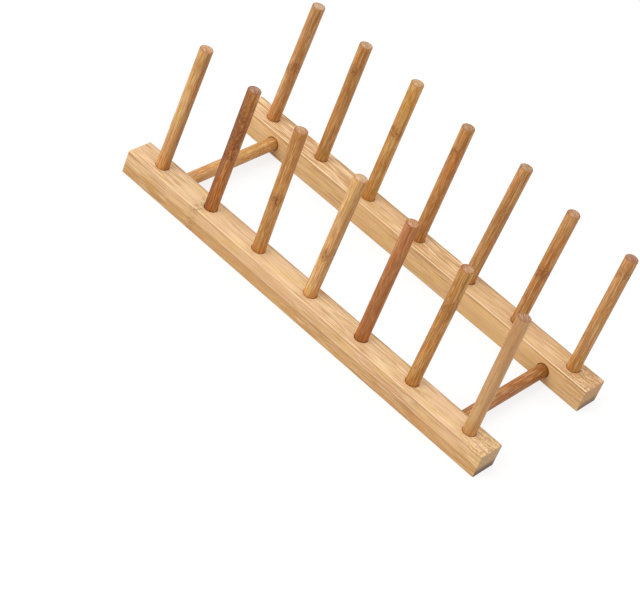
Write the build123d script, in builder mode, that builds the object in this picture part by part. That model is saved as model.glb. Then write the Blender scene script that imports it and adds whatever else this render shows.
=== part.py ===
from build123d import *
import os
from math import radians, tan

# Plate drying rack: two rails, seven pairs of upright pegs and two cross dowels.
# Millimetres. +X runs along the rails, +Y from the front rail to the back rail, +Z up.
# The origin is on the table, midway between the rails and midway along them.

# Pegs
peg_pairs = 7
peg_pitch = 48.5
peg_diameter = 9.8
peg_height = 102.3            # above the top of the rail
peg_seat_depth = 12.0
peg_tip_chamfer = 0.6

# Rails
rail_end_margin = 22.25       # from the axis of the last peg to the end of the rail
rail_width = 22.0
rail_height = 19.0
rail_spacing = 118.5          # centre line to centre line
rail_edge_round = 0.6         # softened arrises
seat_mouth_chamfer = 0.35     # broken edge at the mouth of every drilled seat

# Cross dowels
dowel_diameter = 9.8
dowel_seat_depth = 12.0
dowel_axis_height = 8.8       # above the table
dowel_from_end_peg = 13.5     # from the axis of the end peg inwards to the dowel's axis
dowel_end_chamfer = 0.4

# Fits
seat_clearance = 0.05         # radial, between a peg or dowel and its seat

# Each peg is set by hand, so the rows are a little uneven: half degrees and half millimetres.
# How far each peg leans from upright, in degrees: (along +X, along +Y), first to last peg
front_peg_leans = [(0.5, 1.5), (-0.5, 1.0), (-1.5, 0.0), (1.0, 0.0), (0.5, 0.0), (1.0, 0.0), (-0.5, 0.0)]
back_peg_leans = [(1.0, 0.5), (0.0, 0.0), (0.0, 1.0), (0.5, 0.0), (1.0, 2.5), (1.5, -0.5), (0.5, 0.0)]

# How far along +X each peg's seat is drilled from its even place in the row, first to last peg
front_seat_offsets = [1.0, 1.0, -0.5, 0.5, 0.0, -1.5, 1.5]
back_seat_offsets = [0.0, 0.5, -0.5, 0.0, 0.0, -2.0, 1.5]

# How much further than peg_height each peg stands out, first to last peg
front_peg_extras = [0.0, 0.0, 0.5, 1.5, 0.5, 0.5, -0.5]
back_peg_extras = [0.0, 0.0, 1.0, 0.0, 1.0, -0.5, 0.0]

# Worked out from the sizes above
peg_row = [(n - (peg_pairs - 1) / 2) * peg_pitch for n in range(peg_pairs)]
rail_length = peg_row[-1] - peg_row[0] + 2 * rail_end_margin
rail_y = rail_spacing / 2
inner_face_y = rail_y - rail_width / 2
dowel_x = peg_row[-1] - dowel_from_end_peg

os.makedirs("parts", exist_ok=True)


def row_of(leans, offsets, extras):
    """The place along the rail, lean and height of each peg in a row; a longer row repeats the lists."""
    return [
        (x + offsets[n % len(offsets)], leans[n % len(leans)], peg_height + extras[n % len(extras)])
        for n, x in enumerate(peg_row)
    ]


def peg_plane(x, y, lean):
    """The plane across a peg where its axis meets the top of the rail, with the peg along its normal."""
    return Plane(
        origin=(x, y, rail_height),
        x_dir=(1, 0, -tan(radians(lean[0]))),
        z_dir=(tan(radians(lean[0])), tan(radians(lean[1])), 1),
    )


def dowel_plane(x):
    """The plane across a cross dowel at the middle of the rack."""
    return Plane(origin=(x, 0, dowel_axis_height), x_dir=(1, 0, 0), z_dir=(0, 1, 0))


def make_rail(y, pegs, name):
    """A rail with softened edges, a row of blind peg seats and two blind dowel seats."""
    with BuildPart() as rail:
        with BuildSketch(Plane.XY):
            with Locations((0, y)):
                Rectangle(rail_length, rail_width)
        extrude(amount=rail_height)
        fillet(rail.edges(), radius=rail_edge_round)

        for x, lean, _ in pegs:
            seat_floor = peg_plane(x, y, lean).offset(-peg_seat_depth)
            with BuildSketch(seat_floor):
                Circle(peg_diameter / 2 + seat_clearance)
            extrude(amount=2 * peg_seat_depth, mode=Mode.SUBTRACT)
        top = rail.faces().filter_by(Plane.XY).sort_by(Axis.Z)[-1]
        chamfer(top.inner_wires().edges(), length=seat_mouth_chamfer)

        towards_dowel = -1 if y > 0 else 1
        for x in (-dowel_x, dowel_x):
            seat_floor = dowel_plane(x).offset(-towards_dowel * (inner_face_y + dowel_seat_depth))
            with BuildSketch(seat_floor):
                Circle(dowel_diameter / 2 + seat_clearance)
            extrude(amount=towards_dowel * dowel_seat_depth, mode=Mode.SUBTRACT)
        inner = rail.faces().filter_by(Plane.XZ).sort_by(Axis.Y)[0 if y > 0 else -1]
        chamfer(inner.inner_wires().edges(), length=seat_mouth_chamfer)
    rail.part.label = name
    export_step(rail.part, f"parts/{name}.step")


def make_peg(x, y, lean, height, name):
    """A round peg that stands on the floor of its seat, with a chamfered tip."""
    with BuildPart() as peg:
        with BuildSketch(peg_plane(x, y, lean).offset(-peg_seat_depth)):
            Circle(peg_diameter / 2)
        extrude(amount=peg_seat_depth + height)
        tip = peg.faces().filter_by(GeomType.PLANE).sort_by(Axis.Z)[-1]
        chamfer(tip.edges(), length=peg_tip_chamfer)
    peg.part.label = name
    export_step(peg.part, f"parts/{name}.step")


def make_cross_dowel(x, name):
    """A round dowel that spans the rails, with its ends on the floors of its two seats."""
    reach = inner_face_y + dowel_seat_depth
    with BuildPart() as dowel:
        with BuildSketch(dowel_plane(x)):
            Circle(dowel_diameter / 2)
        extrude(amount=reach, both=True)
        ends = dowel.faces().filter_by(GeomType.PLANE)
        chamfer(ends.edges(), length=dowel_end_chamfer)
    dowel.part.label = name
    export_step(dowel.part, f"parts/{name}.step")


front_pegs = row_of(front_peg_leans, front_seat_offsets, front_peg_extras)
back_pegs = row_of(back_peg_leans, back_seat_offsets, back_peg_extras)

for side, side_y, pegs in (("front", -rail_y, front_pegs), ("back", rail_y, back_pegs)):
    make_rail(side_y, pegs, f"{side}_rail")
    for number, (x, lean, height) in enumerate(pegs):
        make_peg(x, side_y, lean, height, f"{side}_peg_{number + 1}")

make_cross_dowel(-dowel_x, "left_cross_dowel")
make_cross_dowel(dowel_x, "right_cross_dowel")
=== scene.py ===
import bpy
import math
from mathutils import Euler, Matrix, Quaternion, Vector


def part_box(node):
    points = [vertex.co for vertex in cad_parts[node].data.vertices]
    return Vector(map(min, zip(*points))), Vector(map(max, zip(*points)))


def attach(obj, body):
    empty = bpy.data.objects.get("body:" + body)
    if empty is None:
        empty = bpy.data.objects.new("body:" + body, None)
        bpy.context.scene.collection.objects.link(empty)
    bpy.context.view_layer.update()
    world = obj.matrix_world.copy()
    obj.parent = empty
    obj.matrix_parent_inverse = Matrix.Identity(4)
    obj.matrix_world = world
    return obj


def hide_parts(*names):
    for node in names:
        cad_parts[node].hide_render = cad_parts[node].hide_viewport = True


# Bamboo plate rack: two laminated rails, two rows of seven turned pegs, two cross dowels.
# Everything is in metres, in the frame's own axes: X along the rails, Y front to back, Z up.

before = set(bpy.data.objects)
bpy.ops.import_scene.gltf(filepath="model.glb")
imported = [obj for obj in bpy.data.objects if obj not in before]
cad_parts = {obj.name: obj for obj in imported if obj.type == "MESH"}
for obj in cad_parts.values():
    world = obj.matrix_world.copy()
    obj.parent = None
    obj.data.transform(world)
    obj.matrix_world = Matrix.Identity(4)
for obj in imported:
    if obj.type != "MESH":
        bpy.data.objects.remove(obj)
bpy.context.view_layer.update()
milli = 0.001
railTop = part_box("front_rail")[1].z


def deselectAll():
    bpy.ops.object.select_all(action="DESELECT")


def pick(piece):
    deselectAll()
    piece.select_set(True)
    bpy.context.view_layer.objects.active = piece


deselectAll()
print("frame loaded:", len(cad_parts), "nodes")


# Metres and degrees
cameraLook = {
    "target": (-0.0016, -0.0378, 0.0005),
    "azimuth": 27.53,
    "elevation": 38.39,
    "roll": 22.91,
    "distance": 1.6518,
    "lens": 136.575,
    "sensor": 36.0,
    "clipStart": 0.01,
}

lightLook = {
    "skyLevel": 0.87,
    "softness": 40.0,
    "distance": 2.0,
    "suns": {
        "key_light": {"level": 1.21, "azimuth": -28.0, "elevation": 42.0},
        "fill_light": {"level": 0.32, "azimuth": 150.0, "elevation": 35.0},
        "side_light": {"level": 0.40, "azimuth": -80.0, "elevation": 25.0},
    },
}

floorLook = {
    "size": 12.0,
    "bounce": 0.42,
    "seenShade": 0.26,
    "seenGlow": 0.75,
}


# The turn of something that looks at the rack from an azimuth and elevation
def aimFrom(azimuth, elevation, roll=0.0):
    turn = Euler((math.radians(90 - elevation), 0, math.radians(azimuth))).to_quaternion()
    return turn @ Quaternion((0, 0, 1), math.radians(roll))


def placeCamera(look):
    turn = aimFrom(look["azimuth"], look["elevation"], look["roll"])
    place = Vector(look["target"]) + turn @ Vector((0, 0, look["distance"]))
    bpy.ops.object.camera_add(location=place, rotation=turn.to_euler())
    camera = bpy.context.object
    camera.name = "main_camera"
    camera.data.lens = look["lens"]
    camera.data.sensor_width = look["sensor"]
    camera.data.clip_start = look["clipStart"]
    bpy.context.scene.camera = camera


def placeSun(name, look):
    turn = aimFrom(look["azimuth"], look["elevation"])
    place = turn @ Vector((0, 0, lightLook["distance"]))
    bpy.ops.object.light_add(type="SUN", location=place, rotation=turn.to_euler())
    sun = bpy.context.object
    sun.name = name
    sun.data.energy = look["level"]
    sun.data.angle = math.radians(lightLook["softness"])


placeCamera(cameraLook)
for name, look in lightLook["suns"].items():
    placeSun(name, look)
bpy.context.scene.view_settings.view_transform = "Standard"


# Node helpers: each makes one node, plugs in sockets or plain numbers, and gives back its output
def plug(tree, socket, value):
    if isinstance(value, bpy.types.NodeSocket):
        tree.links.new(value, socket)
    else:
        socket.default_value = value


def mathOf(tree, operation, *values):
    made = tree.nodes.new("ShaderNodeMath")
    made.operation = operation
    for socket, value in zip(made.inputs, values):
        plug(tree, socket, value)
    return made.outputs[0]


def lessOf(tree, value, taken):
    return mathOf(tree, "SUBTRACT", value, taken)


def productOf(tree, *values):
    result = values[0]
    for value in values[1:]:
        result = mathOf(tree, "MULTIPLY", result, value)
    return result


def vectorMathOf(tree, operation, *values):
    made = tree.nodes.new("ShaderNodeVectorMath")
    made.operation = operation
    for socket, value in zip(made.inputs, values):
        plug(tree, socket, value)
    return made.outputs["Value" if operation == "LENGTH" else 0]


# Goes smoothly from start to end as the value goes from low to high
def rangeOf(tree, value, low, high, start=0.0, end=1.0):
    made = tree.nodes.new("ShaderNodeMapRange")
    made.interpolation_type = "SMOOTHSTEP"
    for socket, number in zip(made.inputs, (value, low, high, start, end)):
        plug(tree, socket, number)
    return made.outputs[0]


# Goes smoothly from start to end as a share goes from 0 to 1
def betweenOf(tree, share, start, end):
    return rangeOf(tree, share, 0.0, 1.0, start, end)


def splitOf(tree, vector):
    made = tree.nodes.new("ShaderNodeSeparateXYZ")
    plug(tree, made.inputs[0], vector)
    return made.outputs


def joinOf(tree, across, up, along):
    made = tree.nodes.new("ShaderNodeCombineXYZ")
    for socket, value in zip(made.inputs, (across, up, along)):
        plug(tree, socket, value)
    return made.outputs[0]


def noiseOf(tree, vector, detail=2.0, roughness=0.5):
    made = tree.nodes.new("ShaderNodeTexNoise")
    plug(tree, made.inputs["Vector"], vector)
    made.inputs["Scale"].default_value = 1.0
    made.inputs["Detail"].default_value = detail
    made.inputs["Roughness"].default_value = roughness
    return made.outputs[0]


# Noise with its own rate, in patterns per mm, across, up and along
def patternOf(tree, vector, rate, detail=2.0, roughness=0.5):
    return noiseOf(tree, vectorMathOf(tree, "MULTIPLY", vector, rate), detail, roughness)


# Noise runs about one half; less that, it swings both ways about zero
def centredOf(tree, value):
    return lessOf(tree, value, 0.5)


def cellOf(tree, vector):
    made = tree.nodes.new("ShaderNodeTexVoronoi")
    plug(tree, made.inputs["Vector"], vector)
    made.inputs["Scale"].default_value = 1.0
    return made.outputs["Distance"]


def mixOf(tree, share, first, second):
    made = tree.nodes.new("ShaderNodeMix")
    made.data_type = "RGBA"
    plug(tree, made.inputs[0], share)
    plug(tree, made.inputs[6], first)
    plug(tree, made.inputs[7], second)
    return made.outputs[2]


def newGroup(name, inputs, outputs):
    tree = bpy.data.node_groups.new(name, "ShaderNodeTree")
    for label in inputs:
        kind = "NodeSocketVector" if label == "Vector" else "NodeSocketFloat"
        tree.interface.new_socket(name=label, in_out="INPUT", socket_type=kind)
    for label in outputs:
        tree.interface.new_socket(name=label, in_out="OUTPUT", socket_type="NodeSocketFloat")
    given = tree.nodes.new("NodeGroupInput")
    result = tree.nodes.new("NodeGroupOutput")
    return tree, given.outputs, result.inputs


def useGroup(tree, group, **values):
    made = tree.nodes.new("ShaderNodeGroup")
    made.node_tree = group
    for label, value in values.items():
        plug(tree, made.inputs[label], value)
    return made.outputs


# A colour as it looks on screen, 0 to 255, turned into the linear values that sockets take
def paint(red, green, blue):
    levels = [value / 255 for value in (red, green, blue)]
    linear = [level / 12.92 if level <= 0.04045 else ((level + 0.055) / 1.055) ** 2.4 for level in levels]
    return (*linear, 1.0)


creamTone = paint(255, 230, 190)
deepestLoss = (0.65, 0.82, 0.95)


# The same wood, darker and warmer as the amount goes from 0 to 1
def deeper(colour, amount):
    return (*(level * (1 - loss * amount) for level, loss in zip(colour, deepestLoss)), 1.0)


# Lays a darker tone over a colour, for stains in the wood and for painted shade
def stainAndShade(tree, colour, share, tone, depth):
    return mixOf(tree, share, colour, deeper(tone, depth))


# The same wood, paler and creamier as the amount goes from 0 to 1
def paler(colour, amount):
    return (*(level + (most - level) * amount for level, most in zip(colour[:3], creamTone)), 1.0)


def tinted(colour, tint):
    return (*(level * part for level, part in zip(colour, tint)), 1.0)


def grey(level):
    return (level, level, level, 1.0)


# 1 where the camera looks at a surface, straight or by way of something shiny or clear
def seenOf(tree):
    rays = tree.nodes.new("ShaderNodeLightPath").outputs
    seen = mathOf(tree, "MAXIMUM", rays["Is Camera Ray"], rays["Is Glossy Ray"])
    return mathOf(tree, "MAXIMUM", seen, rays["Is Transmission Ray"])


def makeWorld(look):
    world = bpy.data.worlds.new("studio_sky")
    world.use_nodes = True
    bpy.context.scene.world = world
    tree = world.node_tree
    tree.nodes.clear()
    level = mathOf(tree, "MULTIPLY_ADD", seenOf(tree), 1.0 - look["skyLevel"], look["skyLevel"])
    sky = tree.nodes.new("ShaderNodeBackground")
    sky.inputs["Color"].default_value = grey(1.0)
    plug(tree, sky.inputs["Strength"], level)
    end = tree.nodes.new("ShaderNodeOutputWorld")
    tree.links.new(sky.outputs[0], end.inputs["Surface"])


def makeFloor(look):
    deselectAll()
    bpy.ops.mesh.primitive_plane_add(size=look["size"], location=(0, 0, 0))
    floor = bpy.context.object
    floor.name = "studio_floor"
    material = bpy.data.materials.new("studio_floor")
    material.use_nodes = True
    tree = material.node_tree
    tree.nodes.clear()
    seen = seenOf(tree)
    cover = tree.nodes.new("ShaderNodeBsdfDiffuse")
    plug(tree, cover.inputs["Color"], mixOf(tree, seen, grey(look["bounce"]), grey(look["seenShade"])))
    glow = tree.nodes.new("ShaderNodeEmission")
    plug(tree, glow.inputs["Strength"], mathOf(tree, "MULTIPLY", seen, look["seenGlow"]))
    both = tree.nodes.new("ShaderNodeAddShader")
    tree.links.new(cover.outputs[0], both.inputs[0])
    tree.links.new(glow.outputs[0], both.inputs[1])
    end = tree.nodes.new("ShaderNodeOutputMaterial")
    tree.links.new(both.outputs[0], end.inputs["Surface"])
    floor.data.materials.append(material)


makeWorld(lightLook)
makeFloor(floorLook)
print("camera, lights and floor ready")


# The node groups take millimetres in the piece's own axes, with Z along the grain. A Rate is in patterns
# per mm. A Show has the noise values where a pattern starts and is full, then its strength at each, and a
# Gap is the same with distances in mm.
grainShape = {
    "seedShift": (13.7, 7.9, 310.0),
    "driftRate": (0.05, 0.05, 0.02),
    "toneRate": (0.16, 0.16, 0.012),
    "warmthRate": (0.22, 0.22, 0.045),
    "lineAlong": 0.007,
    "lineShow": (0.055, 0.01),
    "patchRate": (0.10, 0.10, 0.03),
    "patchShow": (0.35, 0.60, 0.3, 1.0),
    "stripeRate": (0.85, 0.85, 0.015),
    "stripeShow": (0.50, 0.62),
    "streakRate": (2.4, 2.4, 0.035),
    "streakShow": (0.54, 0.64),
    "fleckAcross": 1.2,
    "fibreRate": (4.0, 4.0, 0.06),
    "bundleRate": (1.1, 1.1, 0.035),
    "bundleShow": (0.28, 0.14),
}

knotShape = {
    "seedShift": 3.1,
    "roughness": 0.6,
    "rippleRate": (0.30, 0.30, 0.10),
    "rippleDepth": 2.4,
    "sideRate": (0.18, 0.18, 0.02),
    "sideShow": (0.40, 0.60, 0.55, 1.0),
    "blotchRate": (0.55, 0.55, 0.30),
    "blotchShow": (0.36, 0.62),
    "speckRate": (0.9, 0.9, 0.45),
    "speckShow": (0.50, 0.60),
    "swirlRate": 1.9,
    "swirlDepth": 0.5,
}

glueShape = {
    "waveRate": 0.02,
    "waveDepth": 0.5,
    "belowGap": (0.3, -0.3),
    "lineGap": (0.55, 0.1),
}

# A seat's size in metres, and the shade in and around it, whose rims are in mm
seatShape = {
    "play": 0.05 * milli,
    "chamfer": 0.35 * milli,
    "over": 1.0 * milli,
    "sides": 64,
    "pegRim": 0.6,
    "dowelRim": 1.0,
    "rimCore": 0.3,
    "topGap": (0.05, 0.25),
    "shade": 0.9,
}


def makeGrainGroup(shape):
    tree, given, result = newGroup(
        "bamboo_grain",
        ("Vector", "Seed", "Wander", "LineRate", "FleckRate"),
        ("Tone", "Warmth", "Line", "Stripe", "Streak", "Fleck", "Fibre", "Bundle"),
    )
    seeds = joinOf(tree, given["Seed"], given["Seed"], given["Seed"])
    shift = vectorMathOf(tree, "MULTIPLY", seeds, shape["seedShift"])
    moved = vectorMathOf(tree, "ADD", given["Vector"], shift)
    drift = centredOf(tree, patternOf(tree, moved, shape["driftRate"], detail=1.0))
    drift = productOf(tree, drift, given["Wander"])
    grain = vectorMathOf(tree, "ADD", moved, joinOf(tree, drift, drift, 0.0))
    plug(tree, result["Tone"], patternOf(tree, grain, shape["toneRate"]))
    plug(tree, result["Warmth"], patternOf(tree, moved, shape["warmthRate"], detail=3.0))
    lineRate = joinOf(tree, given["LineRate"], given["LineRate"], shape["lineAlong"])
    line = centredOf(tree, patternOf(tree, grain, lineRate, detail=1.0))
    line = rangeOf(tree, mathOf(tree, "ABSOLUTE", line), *shape["lineShow"])
    patch = patternOf(tree, moved, shape["patchRate"])
    plug(tree, result["Line"], productOf(tree, line, rangeOf(tree, patch, *shape["patchShow"])))
    stripe = patternOf(tree, grain, shape["stripeRate"], detail=1.0)
    plug(tree, result["Stripe"], rangeOf(tree, stripe, *shape["stripeShow"]))
    streak = patternOf(tree, grain, shape["streakRate"], detail=1.0)
    plug(tree, result["Streak"], rangeOf(tree, streak, *shape["streakShow"]))
    fleckRate = joinOf(tree, shape["fleckAcross"], shape["fleckAcross"], given["FleckRate"])
    plug(tree, result["Fleck"], patternOf(tree, grain, fleckRate, detail=1.0))
    plug(tree, result["Fibre"], patternOf(tree, grain, shape["fibreRate"]))
    bundle = cellOf(tree, vectorMathOf(tree, "MULTIPLY", grain, shape["bundleRate"]))
    plug(tree, result["Bundle"], rangeOf(tree, bundle, *shape["bundleShow"]))
    return tree


# A knot is where the culm had a joint: fibres swirl and darken for a few millimetres
def makeKnotGroup(shape):
    tree, given, result = newGroup(
        "bamboo_knot",
        ("Vector", "Seed", "Place", "Reach"),
        ("Band", "Scar", "Swirl"),
    )
    rough = shape["roughness"]
    shift = joinOf(tree, given["Seed"], productOf(tree, given["Seed"], shape["seedShift"]), 0.0)
    moved = vectorMathOf(tree, "ADD", given["Vector"], shift)
    ripple = centredOf(tree, patternOf(tree, moved, shape["rippleRate"], detail=3.0, roughness=rough))
    ripple = productOf(tree, ripple, given["Reach"], shape["rippleDepth"])
    away = lessOf(tree, splitOf(tree, given["Vector"])[2], given["Place"])
    away = mathOf(tree, "ADD", away, ripple)
    band = rangeOf(tree, mathOf(tree, "ABSOLUTE", away), given["Reach"], 0.0)
    side = patternOf(tree, moved, shape["sideRate"], detail=1.0)
    band = productOf(tree, band, rangeOf(tree, side, *shape["sideShow"]))
    blotch = patternOf(tree, moved, shape["blotchRate"], detail=3.0, roughness=rough)
    plug(tree, result["Band"], productOf(tree, band, rangeOf(tree, blotch, *shape["blotchShow"])))
    speck = patternOf(tree, moved, shape["speckRate"])
    plug(tree, result["Scar"], productOf(tree, band, rangeOf(tree, speck, *shape["speckShow"])))
    wave = mathOf(tree, "SINE", productOf(tree, away, shape["swirlRate"]))
    plug(tree, result["Swirl"], productOf(tree, wave, band, shape["swirlDepth"]))
    return tree


# Two laminations meet at Height: Line is 1 on the joint itself, and Below is 1 under it
def makeGlueGroup(shape):
    tree, given, result = newGroup("glue_line", ("Vector", "Height", "Seed"), ("Below", "Line"))
    parts = splitOf(tree, given["Vector"])
    along = joinOf(tree, given["Seed"], 0.0, productOf(tree, parts[2], shape["waveRate"]))
    wave = productOf(tree, centredOf(tree, noiseOf(tree, along)), shape["waveDepth"])
    over = mathOf(tree, "ADD", lessOf(tree, parts[1], given["Height"]), wave)
    plug(tree, result["Below"], rangeOf(tree, over, *shape["belowGap"]))
    plug(tree, result["Line"], rangeOf(tree, mathOf(tree, "ABSOLUTE", over), *shape["lineGap"]))
    return tree


# 1 inside a drilled seat and on the rim of its mouth, 0 on the open face around it
def makeSeatGroup(shape):
    tree, given, result = newGroup("seat_shade", ("Across", "Along", "Radius", "Rim"), ("Inside",))
    spot = joinOf(tree, given["Across"], given["Along"], 0.0)
    away = lessOf(tree, vectorMathOf(tree, "LENGTH", spot), given["Radius"])
    core = productOf(tree, given["Rim"], shape["rimCore"])
    plug(tree, result["Inside"], rangeOf(tree, away, given["Rim"], core))
    return tree


grainGroup = makeGrainGroup(grainShape)
knotGroup = makeKnotGroup(knotShape)
glueGroup = makeGlueGroup(glueShape)
seatGroup = makeSeatGroup(seatShape)


# A material whose pattern is in mm in the piece's own axes, which start at the place and have the turn
def startMaterial(name, place, turn):
    material = bpy.data.materials.new(name)
    material.use_nodes = True
    tree = material.node_tree
    shader = tree.nodes["Principled BSDF"]
    source = tree.nodes.new("ShaderNodeTexCoord")
    own = tree.nodes.new("ShaderNodeMapping")
    own.vector_type = "TEXTURE"
    own.inputs["Location"].default_value = place
    own.inputs["Rotation"].default_value = turn
    own.inputs["Scale"].default_value = (milli, milli, milli)
    tree.links.new(source.outputs["Object"], own.inputs["Vector"])
    return material, tree, shader, own.outputs[0]


finishLook = {
    "specular": 0.45,
    "bumpHeight": 0.05 * milli,
    "lineDepth": 0.8,
    "fibreShow": (0.2, 0.8),
}


def finishMaterial(tree, shader, colour, grain, roughness):
    plug(tree, shader.inputs["Base Color"], colour)
    shine = rangeOf(tree, grain["Fibre"], *finishLook["fibreShow"], *roughness)
    plug(tree, shader.inputs["Roughness"], shine)
    shader.inputs["Specular IOR Level"].default_value = finishLook["specular"]
    lines = productOf(tree, grain["Line"], finishLook["lineDepth"])
    bump = tree.nodes.new("ShaderNodeBump")
    bump.inputs["Strength"].default_value = 1.0
    bump.inputs["Distance"].default_value = finishLook["bumpHeight"]
    plug(tree, bump.inputs["Height"], lessOf(tree, grain["Fibre"], lines))
    tree.links.new(bump.outputs[0], shader.inputs["Normal"])


# A piece's knots, and its pattern swirled round them; a knot has its place, its strength and its reach
def knotsOf(tree, own, seed, places):
    knots = []
    swirled = own
    for place, _, reach in places:
        knot = useGroup(tree, knotGroup, Vector=own, Seed=seed, Place=place, Reach=reach)
        swirled = vectorMathOf(tree, "ADD", swirled, joinOf(tree, knot["Swirl"], knot["Swirl"], 0.0))
        knots.append(knot)
    return knots, swirled


# Lays one mask of a group over a colour; a layer has its share and its depth
def withLayer(tree, colour, masks, label, layer, tone, strength=1.0):
    share, depth = layer
    return stainAndShade(tree, colour, productOf(tree, masks[label], share * strength), tone, depth)


def withKnots(tree, colour, knots, places, tone, pattern):
    for knot, (_, strength, _) in zip(knots, places):
        for label in ("Band", "Scar"):
            colour = withLayer(tree, colour, knot, label, pattern[label], tone, strength)
    return colour


# Sinks the surface by up to the depth, in grains of the given size
def sink(piece, name, depth, grain, place):
    bpy.ops.object.empty_add(location=place)
    guide = bpy.context.object
    guide.scale = grain
    texture = bpy.data.textures.new(name, "CLOUDS")
    texture.noise_scale = 1.0
    texture.noise_depth = 1
    pick(piece)
    bpy.ops.object.modifier_add(type="DISPLACE")
    modifier = piece.modifiers[-1]
    modifier.texture = texture
    modifier.texture_coords = "OBJECT"
    modifier.texture_coords_object = guide
    modifier.strength = depth
    modifier.mid_level = 1.0
    bpy.ops.object.modifier_apply(modifier=modifier.name)
    bpy.data.objects.remove(guide)
    bpy.data.textures.remove(texture)


def withReliefs(piece, reliefs, place):
    for name, (depth, grain) in reliefs.items():
        sink(piece, name, depth, grain, place)


# How nearly an edge or a face has to point along an axis to count as doing so
alongAxis = 0.9999
facingUp = 0.9


def toObjectMode():
    bpy.ops.object.mode_set(mode="OBJECT")


def clearSelection(piece, kind):
    pick(piece)
    bpy.ops.object.mode_set(mode="EDIT")
    bpy.ops.mesh.select_mode(type=kind)
    bpy.ops.mesh.select_all(action="DESELECT")
    toObjectMode()


def selectEdges(piece, wanted):
    clearSelection(piece, "EDGE")
    points = piece.data.vertices
    for edge in piece.data.edges:
        first, second = (points[number].co for number in edge.vertices)
        edge.select = wanted(first, second)
    bpy.ops.object.mode_set(mode="EDIT")


def selectFaces(piece, wanted):
    clearSelection(piece, "FACE")
    for face in piece.data.polygons:
        face.select = wanted(face.center, face.normal)
    bpy.ops.object.mode_set(mode="EDIT")


def applyPlace(piece):
    pick(piece)
    bpy.ops.object.transform_apply(location=True, rotation=True, scale=True)


def copyOf(piece, name):
    pick(piece)
    bpy.ops.object.duplicate()
    bpy.context.object.name = name
    return bpy.context.object


def smooth(piece, degrees=35):
    pick(piece)
    bpy.ops.object.shade_smooth_by_angle(angle=math.radians(degrees))


def dress(piece, material):
    piece.data.materials.clear()
    piece.data.materials.append(material)


def boxOf(points):
    low = Vector([min(point[axis] for point in points) for axis in range(3)])
    high = Vector([max(point[axis] for point in points) for axis in range(3)])
    return low, high


def grainOf(tree, vector, seed, lineRate, pattern):
    return useGroup(
        tree, grainGroup, Vector=vector, Seed=seed, LineRate=lineRate,
        Wander=pattern["wander"], FleckRate=pattern["fleckRate"])


# Pores and fibre ends on cut wood
def withPores(tree, cut, own, grain, tone, shape):
    pore = patternOf(tree, own, shape["poreRate"], shape["poreDetail"])
    cut = mixOf(tree, rangeOf(tree, pore, *shape["darkPoreShow"]), cut, deeper(tone, shape["darkPoreDepth"]))
    cut = mixOf(tree, rangeOf(tree, pore, *shape["palePoreShow"]), cut, paler(tone, shape["palePoreDepth"]))
    return withLayer(tree, cut, grain, "Bundle", shape["Bundle"], tone)


# How far from a peg's very end the points of that end are looked for
endDepth = 0.45 * milli


# Where a leaning peg stands: its axis at the rail's top, its turn, its radius, and its length each way
def pegAxis(node):
    low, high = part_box(node)
    points = [vertex.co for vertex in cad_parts[node].data.vertices]
    footLow, footHigh = boxOf([point for point in points if point.z < low.z + endDepth])
    tipLow, tipHigh = boxOf([point for point in points if point.z > high.z - endDepth])
    foot = (footLow + footHigh) / 2
    tip = (tipLow + tipHigh) / 2
    axis = (tip - foot).normalized()
    place = foot + axis * ((railTop - foot.z) / axis.z)
    return {
        "place": place,
        "turn": Vector((0, 0, 1)).rotation_difference(axis),
        "radius": (footHigh - footLow).x / 2 / math.sqrt(1 - axis.x ** 2),
        "below": (place - foot).length,
        "above": (tip - place).length,
    }


def dowelAxis(node):
    low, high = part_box(node)
    return {
        "place": (low + high) / 2,
        "turn": Vector((0, 0, 1)).rotation_difference(Vector((0, 1, 0))),
        "radius": (high.z - low.z) / 2,
        "below": (high.y - low.y) / 2,
        "above": (high.y - low.y) / 2,
    }


pegNames = [f"{side}_peg_{number}" for side in ("front", "back") for number in range(1, 8)]
dowelNames = ["left_cross_dowel", "right_cross_dowel"]
rodAxes = {name: pegAxis(name) for name in pegNames}
rodAxes.update({name: dowelAxis(name) for name in dowelNames})
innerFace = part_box("back_rail")[0].y


def pegsOf(side):
    return [name for name in pegNames if name.startswith(side)]


# Which way along Y a rail's inner face looks
def inwardOf(side):
    return 1 if side == "front" else -1


railShape = {
    "arris": 0.6 * milli,
    "arrisSteps": 3,
    "cuts": (150, 36, 32),
    "reliefs": {
        "fibre_ribs": (0.06 * milli, (0.05, 0.0014, 0.0014)),
        "planed_wave": (0.08 * milli, (0.06, 0.012, 0.012)),
    },
}

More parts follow.
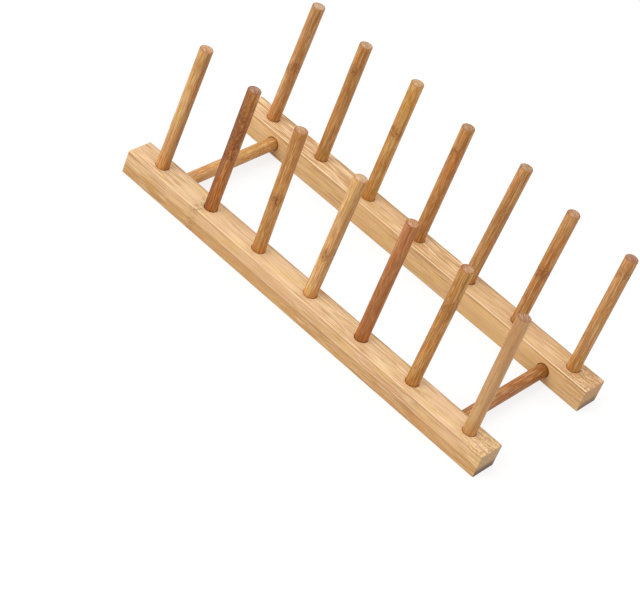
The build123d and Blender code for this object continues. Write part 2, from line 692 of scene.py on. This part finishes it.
# Lengths in mm from the rack's middle, heights in mm above the table. Each glue line has a strength of its
# own and, where it shows most, stretches along the rail. A knot has its place, its strength and its reach.
railLooks = {
    "front_rail": {
        "top": paint(235, 200, 155),
        "side": paint(235, 190, 140),
        "lower": paint(210, 160, 100),
        "end": paint(195, 155, 105),
        "endFootShade": paint(100, 65, 45),
        "backShade": 0.16,
        "edgeShade": 0.60,
        "arrisHighlightShare": 0.05,
        "lineRate": 0.5,
        "lineShare": 0.5,
        "stripeShare": 0.20,
        "sideShare": 0.8,
        "lowerLineShare": 0.3,
        "fleckShare": 0.55,
        "fleckDepth": 0.45,
        "lively": ((-168, -125), (-5, 40), (55, 110), (150, 168)),
        "lineDepth": 0.40,
        "speckStart": 140,
        "glueLines": (
            {"height": 8.9, "faint": 0.2, "strong": 1.0, "stretches": ((-69, 60), (72, 110))},
            {"height": 17.5, "faint": 0.05, "strong": 0.6, "stretches": ((-99, -71), (20, 62), (100, 150))},
        ),
        "knots": ((-101.0, 1.0, 7.0),),
        "seed": 1.3,
        "reliefStart": (0.013, 0.0, 0.0),
    },
    "back_rail": {
        "top": paint(225, 185, 135),
        "side": paint(240, 195, 135),
        "lower": paint(235, 190, 130),
        "end": paint(195, 145, 90),
        "endFootShade": paint(130, 95, 60),
        "backShade": 0.28,
        "edgeShade": 0.75,
        "arrisHighlightShare": 0.8,
        "lineRate": 0.6,
        "lineShare": 0.7,
        "stripeShare": 0.65,
        "sideShare": 0.4,
        "lowerLineShare": 0.1,
        "fleckShare": 1.0,
        "fleckDepth": 0.60,
        "lively": ((-168, -60), (-15, 50), (150, 168)),
        "lineDepth": 0.60,
        "speckStart": 128,
        "glueLines": (
            {"height": 8.9, "faint": 0.05, "strong": 0.2, "stretches": ((90, 168),)},
            {
                "height": 17.6,
                "faint": 0.25,
                "strong": 0.9,
                "stretches": ((-105, -60), (8, 40), (57, 95), (120, 168)),
            },
        ),
        "knots": ((52.0, 1.0, 3.5),),
        "seed": 4.1,
        "reliefStart": (0.171, 0.03, 0.01),
    },
}

# What both rails share: an Ease has the strength on calm and on lively stretches, and Band, Scar and Bundle
# are layers, with a share and a depth
railPattern = {
    "wander": 2.0,
    "fleckRate": 0.06,
    "fadeOutside": 5,
    "fadeInside": 3,
    "edgeStart": 3.0,
    "edgeFull": 0.8,
    "sideGap": (0.2, 0.7),
    "toneShow": (0.3, 0.7, 0.0, 0.07),
    "yellow": (1.00, 1.01, 0.84),
    "yellowShow": (0.50, 0.64),
    "pink": (1.02, 0.97, 1.02),
    "pinkShow": (0.46, 0.34),
    "stripeEase": (0.4, 1.0),
    "stripeDepth": 0.50,
    "streakEase": (0.25, 0.6),
    "streakDepth": 0.60,
    "lineEase": (0.7, 1.2),
    "calmFleck": 0.5,
    "fibreShow": (0.40, 0.60, 0.3, 1.0),
    "darkFleckShow": (0.51, 0.58),
    "paleFleckShow": (0.49, 0.42),
    "paleFleckDepth": 0.35,
    "bundleShow": (0.35, 0.65, 0.1, 0.5),
    "bundleDepth": 0.45,
    "glueDepth": 0.70,
    "Band": (0.45, 0.60),
    "Scar": (0.75, 0.90),
    "roughness": (0.46, 0.62),
}

railEdges = {
    "speckRate": (0.75, 0.75, 0.55),
    "speckShow": (0.48, 0.60),
    "speckGap": (0.5, 3.0, 0.70, 0.15),
    "speckEnd": 2,
    "speckDepth": 0.80,
    "shadeLinePlace": 1.5,
    "shadeLineGap": (0.5, 0.1),
    "shadeLineTopGap": (0.3, 0.1),
    "shadeLineShare": 0.25,
    "shadeLineDepth": 0.7,
    "arrisHighlightGap": (0.8, 0.5),
    "arrisHighlightDepth": 0.60,
}

railEnds = {
    "endGap": (0.5, 0.1),
    # Where the painted shade at the foot of the right ends starts and is full, as shares of the height, and
    # the side it is on
    "footStart": 0.50,
    "footFull": 0.15,
    "footSide": (-1, 1),
    "poreRate": (1.1, 0.9, 0.0),
    "poreDetail": 2.0,
    "darkPoreShow": (0.50, 0.60, 0.0, 0.6),
    "darkPoreDepth": 0.65,
    "palePoreShow": (0.46, 0.36, 0.0, 0.5),
    "palePoreDepth": 0.50,
    "Bundle": (0.6, 0.75),
}

# Turns a rail's own axes, across, up and along, into X, Y and Z of its pattern
alongToUp = Matrix(((0, 0, 1), (1, 0, 0), (0, 1, 0))).to_euler()


# Where a point of a rail is, in mm: from the rail's middle and the table, and in from three of its faces
def railSpot(tree, own, low, high):
    across, up, along = splitOf(tree, own)
    halfWidth = (high.y - low.y) / 2 / milli
    height = high.z / milli
    halfLength = high.x / milli
    return {
        "across": across,
        "up": up,
        "along": along,
        "halfWidth": halfWidth,
        "height": height,
        "halfLength": halfLength,
        "topGap": lessOf(tree, height, up),
        "frontGap": mathOf(tree, "ADD", halfWidth, across),
        "endGap": lessOf(tree, halfLength, mathOf(tree, "ABSOLUTE", along)),
    }


# 1 along any of the stretches
def stretchesOf(tree, along, stretches):
    outside = railPattern["fadeOutside"]
    inside = railPattern["fadeInside"]
    share = 0.0
    for start, end in stretches:
        begun = rangeOf(tree, along, start - outside, start + inside)
        unended = rangeOf(tree, along, end + outside, end - inside)
        share = mathOf(tree, "MAXIMUM", share, productOf(tree, begun, unended))
    return share


# The shade of a rail's glue lines, and 1 under the lowest of them
def glueOf(tree, own, along, look):
    shade = 0.0
    belows = []
    for number, line in enumerate(look["glueLines"]):
        glue = useGroup(tree, glueGroup, Vector=own, Height=line["height"], Seed=look["seed"] + number)
        strength = betweenOf(tree, stretchesOf(tree, along, line["stretches"]), line["faint"], line["strong"])
        shade = mathOf(tree, "MAXIMUM", shade, productOf(tree, glue["Line"], strength))
        belows.append(glue["Below"])
    return shade, belows[0]


# A rail's plain colour: its top darkens towards the back edge, and its sides have two laminations
def railTone(tree, spot, onSide, below, look):
    halfWidth = spot["halfWidth"]
    start = halfWidth - railPattern["edgeStart"]
    full = halfWidth - railPattern["edgeFull"]
    backShare = rangeOf(tree, spot["across"], -halfWidth, halfWidth, 0.0, look["backShade"])
    edgeShare = rangeOf(tree, spot["across"], start, full, 0.0, look["edgeShade"])
    shade = mathOf(tree, "MAXIMUM", backShare, edgeShare)
    topTone = mixOf(tree, shade, look["top"], deeper(look["top"], 1.0))
    sideTone = mixOf(tree, below, look["side"], look["lower"])
    return mixOf(tree, onSide, topTone, sideTone)


# Yellower and pinker drifts, then stripes, streaks, growth lines, flecks and fibre bundles
def railFigure(tree, colour, grain, lively, onSide, below, look):
    pattern = railPattern
    top = look["top"]
    lower = look["lower"]
    colour = mixOf(tree, rangeOf(tree, grain["Tone"], *pattern["toneShow"]), colour, deeper(top, 1.0))
    yellow = vectorMathOf(tree, "MULTIPLY", colour, pattern["yellow"])
    pink = vectorMathOf(tree, "MULTIPLY", colour, pattern["pink"])
    colour = mixOf(tree, rangeOf(tree, grain["Warmth"], *pattern["yellowShow"]), colour, yellow)
    colour = mixOf(tree, rangeOf(tree, grain["Warmth"], *pattern["pinkShow"]), colour, pink)
    calmer = betweenOf(tree, onSide, 1.0, look["sideShare"])
    stripeEase = betweenOf(tree, lively, *pattern["stripeEase"])
    stripeShare = productOf(tree, grain["Stripe"], calmer, stripeEase, look["stripeShare"])
    colour = stainAndShade(tree, colour, stripeShare, lower, pattern["stripeDepth"])
    streakShare = productOf(tree, grain["Streak"], calmer, betweenOf(tree, lively, *pattern["streakEase"]))
    colour = stainAndShade(tree, colour, streakShare, lower, pattern["streakDepth"])
    lineShare = betweenOf(tree, below, look["lineShare"], look["lineShare"] + look["lowerLineShare"])
    lineShare = productOf(tree, grain["Line"], lineShare, betweenOf(tree, lively, *pattern["lineEase"]))
    colour = stainAndShade(tree, colour, lineShare, lower, look["lineDepth"])
    fleckShare = betweenOf(tree, lively, pattern["calmFleck"] * look["fleckShare"], look["fleckShare"])
    fibres = rangeOf(tree, grain["Fibre"], *pattern["fibreShow"])
    darkFleck = rangeOf(tree, grain["Fleck"], *pattern["darkFleckShow"])
    darkFleck = productOf(tree, darkFleck, fibres, calmer, fleckShare)
    colour = stainAndShade(tree, colour, darkFleck, lower, look["fleckDepth"])
    paleFleck = rangeOf(tree, grain["Fleck"], *pattern["paleFleckShow"])
    paleFleck = productOf(tree, paleFleck, calmer, fleckShare)
    colour = mixOf(tree, paleFleck, colour, paler(top, pattern["paleFleckDepth"]))
    bundleShare = rangeOf(tree, grain["Warmth"], *pattern["bundleShow"])
    bundleShare = productOf(tree, grain["Bundle"], bundleShare)
    return stainAndShade(tree, colour, bundleShare, top, pattern["bundleDepth"])


# Specks at the right end, a faint painted shade line beside the front arris, and a painted highlight on the
# arris itself
def withEdges(tree, colour, own, spot, look):
    edges = railEdges
    top = look["top"]
    topGap = spot["topGap"]
    speckPlace = rangeOf(tree, spot["along"], look["speckStart"], spot["halfLength"] - edges["speckEnd"])
    speck = rangeOf(tree, patternOf(tree, own, edges["speckRate"]), *edges["speckShow"])
    speckShare = productOf(tree, rangeOf(tree, topGap, *edges["speckGap"]), speckPlace, speck)
    colour = stainAndShade(tree, colour, speckShare, top, edges["speckDepth"])
    # A painted shade line beside the front arris, drawn like the shade in a groove that the mesh does not
    # have
    fromShadeLine = mathOf(tree, "ABSOLUTE", lessOf(tree, spot["frontGap"], edges["shadeLinePlace"]))
    shadeLine = rangeOf(tree, fromShadeLine, *edges["shadeLineGap"])
    shadeLine = productOf(tree, shadeLine, rangeOf(tree, topGap, *edges["shadeLineTopGap"]), edges["shadeLineShare"])
    colour = stainAndShade(tree, colour, shadeLine, top, edges["shadeLineDepth"])
    # A painted highlight along the front top arris
    arris = rangeOf(tree, mathOf(tree, "MAXIMUM", spot["frontGap"], topGap), *edges["arrisHighlightGap"])
    return mixOf(tree, productOf(tree, arris, look["arrisHighlightShare"]), colour, paler(top, edges["arrisHighlightDepth"]))


# End grain, with painted shade darkening the foot of the right ends
def withEnds(tree, colour, own, grain, spot, look):
    ends = railEnds
    tone = look["end"]
    height = spot["height"]
    # Painted shade: the right ends get darker towards the bottom
    foot = rangeOf(tree, spot["up"], height * ends["footStart"], height * ends["footFull"])
    foot = productOf(tree, foot, rangeOf(tree, spot["along"], *ends["footSide"]))
    cut = withPores(tree, tone, own, grain, tone, ends)
    cut = mixOf(tree, foot, cut, look["endFootShade"])
    return mixOf(tree, rangeOf(tree, spot["endGap"], *ends["endGap"]), colour, cut)


# Peg seats are on the rail's top; dowel seats are mirrored about the middle of its inner face
def seatShade(tree, spot, side):
    across = spot["across"]
    along = spot["along"]
    height = spot["height"]
    mouth, deep = seatShape["topGap"]
    pegSeats = 0.0
    for name in pegsOf(side):
        fromPeg = lessOf(tree, along, rodAxes[name]["place"].x / milli)
        radius = rodAxes[name]["radius"] / milli
        seat = useGroup(
            tree, seatGroup, Across=across, Along=fromPeg, Radius=radius, Rim=seatShape["pegRim"])
        pegSeats = mathOf(tree, "MAXIMUM", pegSeats, seat["Inside"])
    pegShade = productOf(tree, pegSeats, rangeOf(tree, spot["up"], height - mouth, height - deep))
    dowel = rodAxes["right_cross_dowel"]
    mirrored = lessOf(tree, mathOf(tree, "ABSOLUTE", along), dowel["place"].x / milli)
    lifted = lessOf(tree, spot["up"], dowel["place"].z / milli)
    radius = dowel["radius"] / milli
    dowelSeat = useGroup(
        tree, seatGroup, Across=lifted, Along=mirrored, Radius=radius, Rim=seatShape["dowelRim"])
    facing = rangeOf(tree, productOf(tree, across, inwardOf(side)), 0.0, spot["halfWidth"] / 2)
    return mathOf(tree, "MAXIMUM", pegShade, productOf(tree, dowelSeat["Inside"], facing))


def railMaterial(name, low, high, look, side):
    material, tree, shader, own = startMaterial(name, (0, (low.y + high.y) / 2, 0), alongToUp)
    top = look["top"]
    seed = look["seed"]
    spot = railSpot(tree, own, low, high)
    knots, swirled = knotsOf(tree, own, seed, look["knots"])
    grain = grainOf(tree, swirled, seed, look["lineRate"], railPattern)
    lively = stretchesOf(tree, spot["along"], look["lively"])
    onSide = rangeOf(tree, spot["topGap"], *railPattern["sideGap"])
    glueShade, below = glueOf(tree, own, spot["along"], look)
    colour = railTone(tree, spot, onSide, below, look)
    colour = railFigure(tree, colour, grain, lively, onSide, below, look)
    colour = stainAndShade(tree, colour, glueShade, top, railPattern["glueDepth"])
    colour = withKnots(tree, colour, knots, look["knots"], top, railPattern)
    colour = withEdges(tree, colour, own, spot, look)
    colour = withEnds(tree, colour, own, grain, spot, look)
    shade = productOf(tree, seatShade(tree, spot, side), seatShape["shade"])
    colour = stainAndShade(tree, colour, shade, top, 1.0)
    finishMaterial(tree, shader, colour, grain, railPattern["roughness"])
    return material


def makeCylinder(sides, radius, low, high):
    deselectAll()
    middle = (0, 0, (low + high) / 2)
    bpy.ops.mesh.primitive_cylinder_add(vertices=sides, radius=radius, depth=high - low, location=middle)
    applyPlace(bpy.context.object)
    return bpy.context.object


# The solid that a drill and countersink leave: a close seat whose mouth flares out past the surface
def makeSeatCutter(radius, depth):
    chamfer = seatShape["chamfer"]
    over = seatShape["over"]
    cutter = makeCylinder(seatShape["sides"], radius, -depth, -chamfer)
    selectFaces(cutter, lambda centre, normal: normal.z > facingUp)
    bpy.ops.mesh.extrude_region_move(TRANSFORM_OT_translate={"value": (0, 0, chamfer + over)})
    flare = (radius + chamfer + over) / radius
    bpy.ops.transform.resize(value=(flare, flare, 1), center_override=(0, 0, 0))
    toObjectMode()
    return cutter


def placeCopy(piece, name, place, turn):
    copy = copyOf(piece, name)
    copy.rotation_euler = turn.to_euler()
    copy.location = place
    applyPlace(copy)
    return copy


# All the seats of one rail, joined into one tool; the middle peg and a dowel say how large they are
def seatsOf(side):
    play = seatShape["play"]
    peg = rodAxes["front_peg_4"]
    dowel = rodAxes["right_cross_dowel"]
    pegCutter = makeSeatCutter(peg["radius"] + play, peg["below"])
    dowelCutter = makeSeatCutter(dowel["radius"] + play, dowel["above"] - innerFace)
    seats = []
    for name in pegsOf(side):
        seats.append(placeCopy(pegCutter, "peg_seat", rodAxes[name]["place"], rodAxes[name]["turn"]))
    inward = inwardOf(side)
    turn = Vector((0, 0, 1)).rotation_difference(Vector((0, inward, 0)))
    for name in dowelNames:
        centre = rodAxes[name]["place"]
        place = Vector((centre.x, -inward * innerFace, centre.z))
        seats.append(placeCopy(dowelCutter, "dowel_seat", place, turn))
    bpy.data.objects.remove(pegCutter)
    bpy.data.objects.remove(dowelCutter)
    deselectAll()
    for seat in seats:
        seat.select_set(True)
    bpy.context.view_layer.objects.active = seats[0]
    bpy.ops.object.join()
    return bpy.context.object


def makeRail(name, look):
    low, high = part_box(name)
    deselectAll()
    bpy.ops.mesh.primitive_cube_add(size=1, location=(low + high) / 2, scale=high - low)
    rail = bpy.context.object
    rail.name = f"bamboo_{name}"
    applyPlace(rail)
    bpy.ops.object.mode_set(mode="EDIT")
    bpy.ops.mesh.select_all(action="SELECT")
    bpy.ops.mesh.bevel(offset=railShape["arris"], segments=railShape["arrisSteps"], affect="EDGES")
    toObjectMode()
    for axis, cuts in enumerate(railShape["cuts"]):
        selectEdges(rail, lambda first, second: abs((second - first).normalized()[axis]) > alongAxis)
        bpy.ops.mesh.subdivide(number_cuts=cuts)
        toObjectMode()
    withReliefs(rail, railShape["reliefs"], look["reliefStart"])
    side = name.split("_")[0]
    tool = seatsOf(side)
    pick(rail)
    bpy.ops.object.modifier_add(type="BOOLEAN")
    seats = rail.modifiers[-1]
    seats.operation = "DIFFERENCE"
    seats.solver = "EXACT"
    seats.object = tool
    bpy.ops.object.modifier_apply(modifier=seats.name)
    bpy.data.objects.remove(tool)
    smooth(rail)
    dress(rail, railMaterial(rail.name, low, high, look, side))
    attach(rail, "root")
    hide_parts(name)
    return rail


for name, look in railLooks.items():
    rail = makeRail(name, look)
    print("rail made:", rail.name, len(rail.data.polygons), "faces")


rodShape = {
    "sides": 48,
    "lengthCuts": 60,
    "tipRound": 0.6 * milli,
    "tipSteps": 3,
    "tipRings": 3,
    "ringShare": 0.22,
    "capMiddle": 0.1 * milli,
    "tipDepth": 1.0 * milli,
    "reliefs": {
        "fibre_ribs": (0.04 * milli, (0.0016, 0.0016, 0.03)),
        "turned_wave": (0.08 * milli, (0.006, 0.006, 0.03)),
    },
    "seedStep": 0.37,
}

# tone is a rod's own colour, and tip that of its cut end. flanks says how much lighter its left and right
# flanks are, or darker where it is below 0, partly the wood's own two tones and partly painted light and
# shade, left and right as the camera sees the rod. A knot has its place along the rod, its strength and its
# reach. lively is the strength of the grain, 1 unless it is given, and glow tints the rod near its seats with
# painted warm bounce light and shade.
pegLooks = {
    "front_peg_1": {
        "tone": (225, 170, 105), "tip": (195, 140, 95), "flanks": (0.1, -0.8),
        "knots": ((88.0, 0.25, 8.0),),
    },
    "front_peg_2": {
        "tone": (185, 115, 35), "tip": (140, 80, 50), "flanks": (-0.8, 0.1),
        "knots": ((48.0, 0.8, 6.0), (72.0, 1.0, 24.0)),
    },
    "front_peg_3": {
        "tone": (205, 145, 70), "tip": (180, 125, 75), "flanks": (0.0, 0.1),
        "knots": ((46.0, 1.0, 8.0),),
    },
    "front_peg_4": {
        "tone": (235, 185, 120), "tip": (200, 160, 115), "flanks": (0.2, -0.6),
        "knots": ((38.0, 0.8, 8.0),),
    },
    "front_peg_5": {
        "tone": (180, 110, 45), "tip": (180, 120, 65), "flanks": (0.4, 0.4),
        "lively": 0.6, "knots": (),
    },
    "front_peg_6": {
        "tone": (200, 140, 60), "tip": (165, 105, 50), "flanks": (0.1, 0.2),
        "knots": ((70.0, 1.0, 8.0),),
    },
    "front_peg_7": {
        "tone": (205, 155, 100), "tip": (155, 100, 55), "flanks": (-0.1, 0.3),
        "lively": 0.4, "knots": (),
    },
    "back_peg_1": {
        "tone": (205, 150, 85), "tip": (180, 140, 110), "flanks": (0.2, 0.0),
        "knots": ((49.0, 1.0, 8.0),),
    },
    "back_peg_2": {
        "tone": (200, 145, 75), "tip": (185, 145, 105), "flanks": (0.2, 0.1),
        "knots": ((82.0, 0.7, 8.0),),
    },
    "back_peg_3": {
        "tone": (210, 155, 75), "tip": (190, 145, 95), "flanks": (0.4, 0.3),
        "knots": ((62.0, 1.0, 8.0),),
    },
    "back_peg_4": {
        "tone": (200, 140, 70), "tip": (160, 110, 65), "flanks": (0.2, 0.2),
        "knots": ((82.0, 0.7, 8.0),),
    },
    "back_peg_5": {
        "tone": (200, 145, 80), "tip": (155, 110, 65), "flanks": (0.1, 0.1),
        "knots": (),
    },
    "back_peg_6": {
        "tone": (200, 140, 70), "tip": (165, 110, 65), "flanks": (0.2, 0.3),
        "knots": ((50.0, 1.0, 8.0),),
    },
    "back_peg_7": {
        "tone": (205, 150, 85), "tip": (145, 80, 40), "flanks": (0.3, 0.2),
        "knots": ((92.0, 0.5, 8.0),),
    },
}

dowelLooks = {
    "left_cross_dowel": {
        "tone": (225, 170, 100), "tip": (190, 145, 105), "flanks": (0.0, 0.0),
        "glow": (0.94, 0.94, 0.84), "knots": ((30.0, 0.4, 8.0),),
    },
    "right_cross_dowel": {
        "tone": (175, 110, 35), "tip": (190, 145, 105), "flanks": (0.0, 0.0),
        "knots": (),
    },
}

# What all the rods share, with six more layers
rodPattern = {
    "wander": 1.0,
    "lineRate": 0.5,
    "fleckRate": 0.12,
    "toneShow": (0.36, 0.64),
    "palest": 0.12,
    "deepest": 0.24,
    "warm": (1.10, 0.88, 0.62),
    "warmShow": (0.49, 0.60),
    "olive": (1.02, 1.12, 0.80),
    "oliveShow": (0.47, 0.36),
    "driftShare": 0.9,
    "Line": (0.9, 0.60),
    "fibreShow": (0.40, 0.60, 0.35, 1.0),
    "darkFleckShow": (0.52, 0.62),
    "darkFleckShare": 0.9,
    "darkFleckDepth": 0.50,
    "paleFleckShow": (0.49, 0.40),
    "paleFleckShare": 0.7,
    "paleFleckDepth": 0.20,
    "Stripe": (0.6, 0.55),
    "Streak": (0.8, 0.75),
    "Bundle": (0.35, 0.65),
    "Band": (1.0, 0.80),
    "Scar": (1.0, 1.0),
    "roughness": (0.44, 0.58),
}

# A rod's left and right flanks as the camera sees it, where painted light and shade join the wood's own
# tones: the line across it on which they lie, then where they start and are full
rodFlanks = {
    "across": 0.88,
    "up": 0.47,
    "starts": (-0.5, 0.5),
    "ends": (-4.0, 3.5),
    "lighter": (1.25, 1.30, 1.40),
    "darker": (0.60, 0.50, 0.42),
}

rodTip = {
    "toneShow": (0.3, 0.7),
    "toneDepth": 0.20,
    "poreRate": (1.0, 1.0, 0.0),
    "poreDetail": 1.0,
    "palePoreShow": (0.46, 0.36, 0.0, 0.7),
    "palePoreDepth": 0.45,
    "darkPoreShow": (0.52, 0.62, 0.0, 0.7),
    "darkPoreDepth": 0.75,
    "Bundle": (0.8, 0.8),
    "rimStart": 1.2,
    "rimFull": 0.6,
    "rimShare": 0.85,
    "rimDepth": 0.75,
    "cutStart": 0.55,
    "cutFull": 0.15,
}

# Painted light and shade where a rod meets its seat: a warm bounce light tint, a shade and a contact shadow
# line
rodMouth = {
    "glow": (0.90, 0.84, 0.68),
    "glowGap": (17.0, 3.0),
    "shadeGap": (3.5, 0.0, 0.0, 0.30),
    "shadeDepth": 0.8,
    "lineGap": (0.5, -0.1, 0.0, 0.5),
    "lineDepth": 0.9,
}


def rodFigure(tree, grain, tone, lively):
    pattern = rodPattern
    drift = pattern["driftShare"] * lively
    toneShare = rangeOf(tree, grain["Tone"], *pattern["toneShow"])
    colour = mixOf(tree, toneShare, paler(tone, pattern["palest"]), deeper(tone, pattern["deepest"]))
    warmShare = rangeOf(tree, grain["Warmth"], *pattern["warmShow"], 0.0, drift)
    colour = mixOf(tree, warmShare, colour, tinted(tone, pattern["warm"]))
    oliveShare = rangeOf(tree, grain["Warmth"], *pattern["oliveShow"], 0.0, drift)
    colour = mixOf(tree, oliveShare, colour, tinted(tone, pattern["olive"]))
    colour = withLayer(tree, colour, grain, "Line", pattern["Line"], tone, lively)
    fibres = rangeOf(tree, grain["Fibre"], *pattern["fibreShow"])
    darkFleck = rangeOf(tree, grain["Fleck"], *pattern["darkFleckShow"])
    darkFleck = productOf(tree, darkFleck, fibres, pattern["darkFleckShare"] * lively)
    colour = stainAndShade(tree, colour, darkFleck, tone, pattern["darkFleckDepth"])
    paleShare = pattern["paleFleckShare"] * lively
    paleFleck = rangeOf(tree, grain["Fleck"], *pattern["paleFleckShow"], 0.0, paleShare)
    colour = mixOf(tree, paleFleck, colour, paler(tone, pattern["paleFleckDepth"]))
    for label in ("Stripe", "Streak"):
        colour = withLayer(tree, colour, grain, label, pattern[label], tone, lively)
    return withLayer(tree, colour, grain, "Bundle", pattern["Bundle"], tone)


# Painted light and shade on the left and right flanks, partly the wood's own two tones
def withFlanks(tree, colour, across, up, strengths):
    first = productOf(tree, across, rodFlanks["across"])
    offset = mathOf(tree, "ADD", first, productOf(tree, up, rodFlanks["up"]))
    for strength, start, end in zip(strengths, rodFlanks["starts"], rodFlanks["ends"]):
        change = rodFlanks["lighter"] if strength > 0 else rodFlanks["darker"]
        strip = vectorMathOf(tree, "MULTIPLY", colour, change)
        colour = mixOf(tree, rangeOf(tree, offset, start, end, 0.0, abs(strength)), colour, strip)
    return colour


# The cut end of a rod, with its pores and painted shade around its rounded rim
def withTip(tree, colour, own, grain, axis, tone, tip):
    shape = rodTip
    across, up, along = splitOf(tree, own)
    height = axis["above"] / milli
    radius = axis["radius"] / milli
    toneShare = rangeOf(tree, grain["Tone"], *shape["toneShow"])
    cut = mixOf(tree, toneShare, paler(tip, shape["toneDepth"]), deeper(tip, shape["toneDepth"]))
    cut = withPores(tree, cut, own, grain, tip, shape)
    fromAxis = vectorMathOf(tree, "LENGTH", joinOf(tree, across, up, 0.0))
    # Painted shade: the cut end gets darker towards its rounded rim
    rimStart = radius - shape["rimStart"]
    rim = rangeOf(tree, fromAxis, rimStart, radius - shape["rimFull"], 0.0, shape["rimShare"])
    cut = stainAndShade(tree, cut, rim, tone, shape["rimDepth"])
    onCut = rangeOf(tree, along, height - shape["cutStart"], height - shape["cutFull"])
    return mixOf(tree, onCut, colour, cut)


# A mouth is where a rod leaves its seat and which way it goes from there; towards it the rod gets a painted
# warm bounce light tint, painted shade and a painted contact shadow line
def withMouths(tree, colour, along, mouths, tone, tint):
    for mouth, outward in mouths:
        past = productOf(tree, lessOf(tree, along, mouth / milli), outward)
        glow = vectorMathOf(tree, "MULTIPLY", colour, tint)
        colour = mixOf(tree, rangeOf(tree, past, *rodMouth["glowGap"]), colour, glow)
        shade = rangeOf(tree, past, *rodMouth["shadeGap"])
        colour = stainAndShade(tree, colour, shade, tone, rodMouth["shadeDepth"])
        line = rangeOf(tree, past, *rodMouth["lineGap"])
        colour = stainAndShade(tree, colour, line, tone, rodMouth["lineDepth"])
    return colour


def rodMaterial(name, axis, seed, look, mouths):
    material, tree, shader, own = startMaterial(name, axis["place"], axis["turn"].to_euler())
    knots, swirled = knotsOf(tree, own, seed, look["knots"])
    grain = grainOf(tree, swirled, seed, rodPattern["lineRate"], rodPattern)
    across, up, along = splitOf(tree, own)
    tone = paint(*look["tone"])
    colour = rodFigure(tree, grain, tone, look.get("lively", 1.0))
    colour = withKnots(tree, colour, knots, look["knots"], tone, rodPattern)
    colour = withFlanks(tree, colour, across, up, look["flanks"])
    colour = withTip(tree, colour, own, grain, axis, tone, paint(*look["tip"]))
    colour = withMouths(tree, colour, along, mouths, tone, look.get("glow", rodMouth["glow"]))
    finishMaterial(tree, shader, colour, grain, rodPattern["roughness"])
    return material


# A blank rod stands upright, with zero where it meets the rail's top, and has a softened upper end
def makeRodBlank(axis):
    radius = axis["radius"]
    below = axis["below"]
    above = axis["above"]
    rod = makeCylinder(rodShape["sides"], radius, -below, above)
    selectEdges(rod, lambda first, second: min(first.z, second.z) > above - rodShape["tipDepth"])
    bpy.ops.mesh.bevel(offset=rodShape["tipRound"], segments=rodShape["tipSteps"], affect="EDGES")
    toObjectMode()
    selectEdges(rod, lambda first, second: abs(second.z - first.z) > (above + below) / 2)
    bpy.ops.mesh.subdivide(number_cuts=rodShape["lengthCuts"])
    toObjectMode()
    middle = rodShape["capMiddle"]
    for ring in range(rodShape["tipRings"]):
        selectFaces(rod, lambda centre, normal: normal.z > facingUp and centre.xy.length < middle)
        bpy.ops.mesh.inset(thickness=radius * rodShape["ringShare"])
        toObjectMode()
    return rod


# Each rod is a copy of the blank whose tip is moved to the rod's own height
def makeRod(blank, name, axis, seed, look, mouths):
    rod = copyOf(blank, f"bamboo_{name}")
    tip = max(point.co.z for point in rod.data.vertices)
    selectFaces(rod, lambda centre, normal: centre.z > tip - rodShape["tipDepth"])
    bpy.ops.transform.translate(value=(0, 0, axis["above"] - tip))
    toObjectMode()
    withReliefs(rod, rodShape["reliefs"], (seed, 0, 0))
    rod.rotation_euler = axis["turn"].to_euler()
    rod.location = axis["place"]
    applyPlace(rod)
    smooth(rod)
    dress(rod, rodMaterial(rod.name, axis, seed, look, mouths))
    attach(rod, "root")
    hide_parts(name)


def makeRods(looks, slot, firstSeed, mouths):
    blank = makeRodBlank(rodAxes[next(iter(looks))])
    for number, (name, look) in enumerate(looks.items()):
        seed = firstSeed + rodShape["seedStep"] * number
        makeRod(blank, name, rodAxes[name], seed, look, mouths)
    bpy.data.objects.remove(blank)
    print("rods made:", slot, len(looks))


# The first seed of a set of rods, then its mouths
makeRods(pegLooks, "peg_bamboo", 0.37, ((0.0, 1),))
makeRods(dowelLooks, "dowel_bamboo", 5.55, ((-innerFace, 1), (innerFace, -1)))
